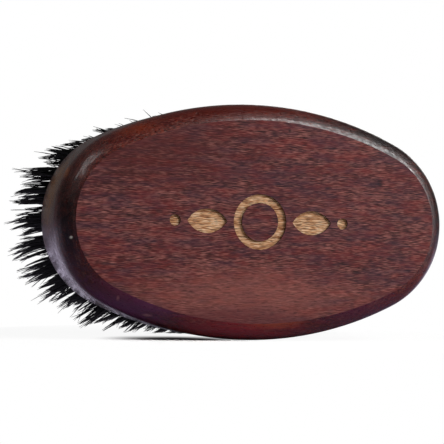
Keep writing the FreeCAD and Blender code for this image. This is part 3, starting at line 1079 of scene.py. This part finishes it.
@dataclass
class Bristles:
    """The hairs of every tuft, each bent and tapered on its own way out to the trim.

    Past its hole a tuft opens out into a full bundle. Towards the tips its hairs cling together
    in a few locks, set round by the golden angle. Within a lock the hairs end one after the
    other, which draws the lock out to a point, and a few stray hairs stand off on their own.
    """

    field: DrilledField
    length: float
    face: float
    hairs: int = 126
    splits: int = 20
    locks: int = 11
    lock_turn: float = 2.399963
    lock_reach: Pair = (0.85, 1.1)
    root_depth: float = 1.2 * MM
    hair_radius: float = 0.15 * MM
    root_circle: float = 1.36 * MM
    tip_circle: float = 3.1 * MM
    opening: float = 0.7
    clinging: float = 2.1
    fullness: float = 0.12
    lean: float = 0.032
    lock_scatter: float = 0.15 * MM
    stray_scatter: float = 1.4 * MM
    stray_share: float = 0.16
    bow: float = 0.3 * MM
    droop: float = 1.5 * MM
    weight_splay: float = 0.55
    trim_spread: float = 1.3 * MM
    lock_point: float = 3.0 * MM
    lock_slant: float = 1.3
    leader_trim: float = 0.8
    split_short: float = 0.3 * MM
    split_from: Pair = (0.55, 0.75)
    thinning: Pair = (0.2, 0.55)
    browning: int = 3
    press_height: float = 0.8 * MM
    rings: int = 6
    seed: int = 53

    def one_hair(self) -> tuple[np.ndarray, list[list[int]]]:
        """Model one hair as a three-sided tube that is cut into rings.

        Returns:
            Its corners, with the third coordinate running from 0 to 1 along it, and its faces
            as lists of corner numbers.
        """
        bpy.ops.object.select_all(action="DESELECT")
        bpy.ops.mesh.primitive_cylinder_add(vertices=3, radius=1.0, depth=1.0, location=(0, 0, 0.5))
        piece = start_piece("one_hair")
        select_edges(piece, lambda start, end: abs(start.z - end.z) > 0.5)
        bpy.ops.mesh.subdivide(number_cuts=self.rings - 2)
        finish_piece(piece)
        corners = np.array([tuple(vertex.co) for vertex in piece.data.vertices])
        faces = [list(face.vertices) for face in piece.data.polygons]
        bpy.data.objects.remove(piece, do_unlink=True)
        return corners, faces

    def ways(self, rng: np.random.Generator) -> dict[str, np.ndarray]:
        """Choose the way of every hair of one tuft.

        Args:
            rng: the source of chance.

        Returns:
            The tuft's own lean and, with one entry for each hair, where it leaves the hole,
            passes and ends across the tuft, its length, its bow, the part of its length where
            a split end leaves it, and how brown it is.
        """
        count = self.hairs
        angle = rng.uniform(0, 2 * math.pi, count)
        away = np.sqrt(rng.uniform(0, 1, count)) * self.root_circle
        root = np.stack([np.cos(angle) * away, np.sin(angle) * away], 1)
        golden = rng.uniform(0, 2 * math.pi) + np.arange(self.locks) * self.lock_turn
        out = np.sqrt((np.arange(self.locks) + 0.5) / self.locks)
        out = out * rng.uniform(*self.lock_reach, self.locks)
        full = self.tip_circle * rng.uniform(1 - self.fullness, 1 + self.fullness)
        heads = np.stack([np.cos(golden) * out, np.sin(golden) * out], 1) * full
        scale = self.tip_circle / self.root_circle
        lock = np.linalg.norm(root[:, None] * scale - heads[None], axis=2).argmin(1)
        tip = heads[lock] + rng.normal(0, self.lock_scatter, (count, 2))
        stray = rng.uniform(0, 1, count) < self.stray_share
        tip[stray] += rng.normal(0, self.stray_scatter, (int(stray.sum()), 2))
        short = rng.uniform(0, 1, self.locks)[lock] * self.trim_spread
        short = short + rng.uniform(0, 1, count) ** self.lock_slant * self.lock_point
        for number in np.unique(lock):
            leader = np.flatnonzero(lock == number)[0]
            short[leader] = min(short[leader], self.trim_spread * self.leader_trim)
        bend = rng.normal(0, self.bow, (self.locks, 2))[lock]
        bend = bend + rng.normal(0, self.bow / 3, (count, 2))
        parent = rng.integers(0, count, self.splits)
        fork = tip[parent] + rng.normal(0, 2 * self.lock_scatter, (self.splits, 2))
        tone = rng.uniform(0, 1, count) ** self.browning
        return {
            "lean": rng.normal(0, self.lean, (1, 2)),
            "root": np.vstack([root, root[parent]]),
            "trunk": np.vstack([tip, tip[parent]]),
            "tip": np.vstack([tip, fork]),
            "length": self.length - np.append(short, short[parent] + self.split_short),
            "bend": np.vstack([bend, bend[parent]]),
            "start": np.append(np.zeros(count), rng.uniform(*self.split_from, self.splits)),
            "tone": np.append(tone, tone[parent]),
        }

    def grow(self, tuft: Tuft, way: dict[str, np.ndarray], corners: np.ndarray) -> np.ndarray:
        """Lay a copy of the one hair along each way.

        Args:
            tuft: the tuft.
            way: what ways() chose.
            corners: the one hair's corners.

        Returns:
            The corners of every hair, as hairs x corners x 3.
        """
        start = way["start"][:, None]
        part = start + (1 - start) * corners[:, 2][None]
        out = part * (way["length"][:, None] + self.root_depth) - self.root_depth
        high = np.clip(out / self.length, 0, 1)
        after = ((part - start) / (1 - start))[..., None]
        tip = way["trunk"][:, None] * (1 - after) + way["tip"][:, None] * after
        wide = 1 + (self.tip_circle / self.root_circle - 1) * high[..., None] ** self.opening
        cling = high[..., None] ** self.clinging
        across = way["root"][:, None] * wide * (1 - cling) + tip * cling
        across = across + way["bend"][:, None] * np.sin(math.pi * high)[..., None]
        across = across + way["lean"][:, None] * out[..., None]
        # A hair thins slowly along its length and quickly over its last quarter.
        slow, quick = self.thinning
        taper = 1.0 - slow * part - quick * np.clip((part - 0.75) / 0.25, 0, 1)
        radius = self.hair_radius * taper
        # The lower a tuft sits, the more its own weight pulls it away from the block.
        low = 1 + self.weight_splay * min(max(1 - tuft.z / self.field.height, 0), 1)
        x = tuft.x + tuft.lean_x * (low + 1) / 2 * out + across[..., 0] + radius * corners[:, 0]
        z = tuft.z + tuft.lean_z * low * out + across[..., 1] + radius * corners[:, 1]
        z = z - self.droop * high**2
        # The lowest tips are pressed flat on the ground instead of through it.
        pressed = self.press_height * np.exp(np.minimum(z / self.press_height - 1, 0))
        z = np.where(z < self.press_height, pressed, z)
        return np.stack([x, self.face + out, z], axis=2)

    def group(
        self,
        name: str,
        tufts: list[Tuft],
        rng: np.random.Generator,
        hair: tuple[np.ndarray, list[list[int]]],
    ) -> Object:
        """Grow the ring or one row of tufts as one piece.

        Args:
            name: the group's name.
            tufts: its tufts.
            rng: the source of chance.
            hair: the one hair's corners and faces.

        Returns:
            The piece.
        """
        corners, faces = hair
        ways = [self.ways(rng) for _ in tufts]
        hairs = np.concatenate([self.grow(t, way, corners) for t, way in zip(tufts, ways)])
        tone = np.repeat(np.concatenate([way["tone"] for way in ways]), len(corners))
        polygons = [
            [corner + number * len(corners) for corner in face]
            for number in range(len(hairs))
            for face in faces
        ]
        mesh = bpy.data.meshes.new(f"bristles_{name}")
        mesh.from_pydata(hairs.reshape(-1, 3).tolist(), [], polygons)
        mesh.attributes.new("tone", "FLOAT", "POINT").data.foreach_set("value", tone)
        mesh.shade_smooth()
        piece = bpy.data.objects.new(mesh.name, mesh)
        bpy.context.collection.objects.link(piece)
        return piece

    def build(self) -> list[Object]:
        """Grow every group, dress it and hand it to the frame.

        Returns:
            The pieces, the ring first.
        """
        hair = self.one_hair()
        rng = np.random.default_rng(self.seed)
        finish = BlackBristle().material()
        pieces = []
        for name, tufts in self.field.groups().items():
            piece = self.group(name, tufts, rng, hair)
            piece.data.materials.append(finish)
            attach(piece, "root")
            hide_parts(f"bristle_{name}")
            pieces.append(piece)
        return pieces


@dataclass
class WireAnchors:
    """The flat wires inside the block, kept as the frame has them."""

    groups: list[str]

    def dress(self, nodes: dict[str, Object]) -> None:
        """Give every group of anchors its metal.

        Args:
            nodes: the frame's nodes by name.
        """
        finish = FlatWire().material()
        for name in self.groups:
            node = nodes[f"anchor_{name}"]
            node.data.materials.clear()
            node.data.materials.append(finish)
            LOG.info("%s is dressed", node.name)


# ---- the studio ----


@dataclass(frozen=True)
class Softbox:
    """A square lamp that faces the brush from a direction, in degrees."""

    name: str
    azimuth: float
    elevation: float
    size: Pair
    radiance: float


class Lamp(Enum):
    """The lamps round the brush. Azimuth 0 is on the camera's side, and 90 is to the right."""

    KEY = Softbox("right_softbox", 60, 15, (0.42, 0.58), 7.8)
    TOP = Softbox("upper_right_softbox", 47, 43, (0.75, 0.45), 5.2)
    LEFT = Softbox("left_softbox", -66, 46, (0.5, 0.42), 1.9)
    BACK = Softbox("rear_softbox", 150, 8, (0.42, 0.36), 1.8)


@dataclass
class Studio:
    """A pale floor, soft lamps and the camera.

    The floor shows white to the camera and keeps the brush's shadow within the shadow's reach.
    Glossy surfaces see it darker and lilac, with a glow close behind the brush.
    """

    target: Vector
    distance: float = 0.400
    turn: float = math.radians(-17.97)
    tilt: float = math.radians(1.07)
    roll: float = math.radians(1.03)
    sideways: float = 8.8 * MM
    focal_length: float = 140.7
    sensor_width: float = 36.0
    near_clip: float = 0.01
    lamp_distance: float = 1.0
    floor_size: float = 6.0
    floor_gain: float = 1.8
    paper_tooth: float = 3 * MM
    bounce_colour: str = "#a0a0a0"
    mirrored_colour: str = "#746c84"
    shadow_middle: Triple = (-17 * MM, -13 * MM, 0.0)
    shadow_reach: Triple = (21 * MM, 22 * MM, 1.0)
    shadow_core: float = 0.3
    shadow_rim: float = 0.93
    blank_levels: Pair = (0.04, 0.07)
    paper_tones: tuple[str, str] = ("#f4f4f4", "#fafafa")
    floor_glow: float = 0.8
    glow_rise: float = 0.05
    glow_fall: Pair = (0.09, 0.35)
    far_glow: float = 0.1
    sweep_glow: float = 0.09
    sweep_levels: Pair = (0.3, 0.9)
    glow_colour: str = "#efe6ff"
    ambient: float = 0.015

    def add_camera(self) -> None:
        """Place the camera in front of the flat back, towards the left-hand end."""
        lens = bpy.data.cameras.new("camera")
        lens.lens = self.focal_length
        lens.sensor_width = self.sensor_width
        lens.clip_start = self.near_clip
        camera = bpy.data.objects.new("camera", lens)
        bpy.context.collection.objects.link(camera)
        rotation = (
            Matrix.Rotation(self.turn, 3, "Z")
            @ Matrix.Rotation(math.pi / 2 + self.tilt, 3, "X")
            @ Matrix.Rotation(self.roll, 3, "Z")
        )
        right, _, backward = (Vector(axis) for axis in zip(*rotation))
        place = self.target - right * self.sideways + backward * self.distance
        camera.matrix_world = Matrix.LocRotScale(place, rotation.to_quaternion(), None)
        bpy.context.scene.camera = camera

    def add_lamps(self) -> None:
        """Hang the lamps, each at the power that gives its panel its radiance."""
        for lamp in Lamp:
            box = lamp.value
            width, height = box.size
            light = bpy.data.lights.new(box.name, "AREA")
            light.shape = "RECTANGLE"
            light.size = width
            light.size_y = height
            light.energy = box.radiance * math.pi * width * height
            panel = bpy.data.objects.new(box.name, light)
            bpy.context.collection.objects.link(panel)
            azimuth, elevation = math.radians(box.azimuth), math.radians(box.elevation)
            level = math.cos(elevation)
            away = Vector(
                (math.sin(azimuth) * level, -math.cos(azimuth) * level, math.sin(elevation))
            )
            panel.location = self.target + away * self.lamp_distance
            panel.rotation_euler = away.to_track_quat("Z", "Y").to_euler()
            panel.visible_camera = False

    def paper(self, add: Adder, place: NodeSocket, rays: Node, away: Node) -> Node:
        """Make the floor's lit paper, with its glow for glossy surfaces.

        Args:
            add: adds a node.
            place: the position, in metres.
            rays: the node that tells the kinds of ray apart.
            away: the distance from the middle.

        Returns:
            The paper's shader.
        """
        glossy = rays.outputs["Is Glossy Ray"]
        rough = {"Scale": 1 / self.paper_tooth, "Detail": 2.0}
        tooth = add("TexNoise", rough, {"Vector": place})
        grey, white = (linear(tone) for tone in self.paper_tones)
        pale = {"data_type": "RGBA", 6: grey, 7: white}
        tone = add("Mix", pale, {0: tooth})
        bright = add("VectorMath", {"operation": "SCALE", "Scale": self.floor_gain}, {0: tone})
        dim, dark = (linear(tone)[:3] for tone in (self.bounce_colour, self.mirrored_colour))
        bounced = add("Mix", {"data_type": "VECTOR", 4: dim, 5: dark}, {0: glossy})
        seen = {0: rays.outputs["Is Camera Ray"], 4: bounced, 5: bright}
        shown = add("Mix", {"data_type": "VECTOR"}, seen)
        lit = add("BsdfDiffuse", links={"Color": shown})
        depth = add("SeparateXYZ", links={"Vector": place}).outputs["Y"]
        rise = span((0.0, self.glow_rise), (0.0, self.floor_glow))
        behind = add("MapRange", rise, {"Value": depth})
        near = add("MapRange", span(self.glow_fall, (1.0, self.far_glow)), {"Value": away})
        around = add("Math", {"operation": "MULTIPLY"}, {0: near, 1: behind})
        mirrored = add("Math", {"operation": "MULTIPLY"}, {0: glossy, 1: around})
        glow = add("Emission", {"Color": linear(self.glow_colour)}, {"Strength": mirrored})
        return add("AddShader", links={0: lit, 1: glow})

    def add_floor(self) -> None:
        """Lay the pale floor, which is blank white to the camera away from the shadow."""
        bpy.ops.object.select_all(action="DESELECT")
        bpy.ops.mesh.primitive_plane_add(size=self.floor_size, location=(0, 0, 0))
        floor = finish_piece(start_piece("studio_floor"))
        material, add, place = new_material("pale_paper_floor")
        rays = add("LightPath")
        away = add("VectorMath", {"operation": "LENGTH"}, {0: place})
        paper = self.paper(add, place, rays, away)
        spread = spread_from(add, place, self.shadow_middle, self.shadow_reach)
        smooth = {"interpolation_type": "SMOOTHSTEP"}
        fading = span((self.shadow_core, 1.0), (0.0, self.shadow_rim))
        thin = add("MapRange", {**smooth, **fading}, {"Value": spread})
        gone = add("MapRange", {**smooth, **span(self.blank_levels)}, {"Value": away})
        edge = add("Math", {"operation": "MAXIMUM"}, {0: thin, 1: gone})
        seen = {0: rays.outputs["Is Camera Ray"], 1: edge}
        blank = add("Math", {"operation": "MULTIPLY"}, seen)
        white = add("Emission", {"Strength": 1.0})
        both = add("MixShader", links={0: blank, 1: paper, 2: white})
        add("OutputMaterial", links={"Surface": both})
        floor.data.materials.append(material)
        floor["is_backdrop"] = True

    def add_world(self) -> None:
        """Surround the brush with a dim room that shows white to the camera."""
        world = bpy.data.worlds.new("room")
        bpy.context.scene.world = world
        world.use_nodes = True
        world.node_tree.nodes.clear()
        add = partial(add_node, world.node_tree)
        rays = add("LightPath").outputs
        way = add("SeparateXYZ", links={"Vector": add("TexCoord").outputs["Generated"]})
        rise = span(self.sweep_levels, (0.0, self.sweep_glow))
        behind = add("MapRange", rise, {"Value": way.outputs["Y"]})
        dim = {"operation": "MULTIPLY_ADD", 2: self.ambient}
        mirrored = add("Math", dim, {0: rays["Is Glossy Ray"], 1: behind})
        seen = {0: mirrored, 1: rays["Is Camera Ray"]}
        strength = add("Math", {"operation": "MAXIMUM"}, seen)
        light = add("Background", {"Color": linear("#ffffff")}, {"Strength": strength})
        add("OutputWorld", links={"Surface": light})

    def build(self) -> None:
        """Set up everything round the brush."""
        self.add_floor()
        self.add_world()
        self.add_lamps()
        self.add_camera()
        bpy.context.scene.view_settings.view_transform = "Standard"


def main() -> None:
    """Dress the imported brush, piece by piece, and light it."""
    logging.basicConfig(level=logging.INFO, format="%(name)s: %(message)s")
    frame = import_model()
    cad_box = [list(corner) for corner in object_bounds()]
    low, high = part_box("wooden_block")
    rows = sum(name.startswith("bristle_row_") for name in frame["nodes"])
    oval = Oval(high[0] - low[0], high[2] - low[2])
    height = (low[2] + high[2]) / 2
    drilled = DrilledField(oval, height, rows)
    block = WoodenBlock(oval, low[1], high[1], height, drilled).build()
    LOG.info("%s has %d faces", block.name, len(block.data.polygons))
    bristles = Bristles(drilled, cad_box[1][1] - high[1], high[1])
    for piece in bristles.build():
        LOG.info("%s has %d faces", piece.name, len(piece.data.polygons))
    WireAnchors(list(drilled.groups())).dress(frame["nodes"])
    Studio(Vector((0, low[1], height))).build()


if __name__ == "__main__":
    main()
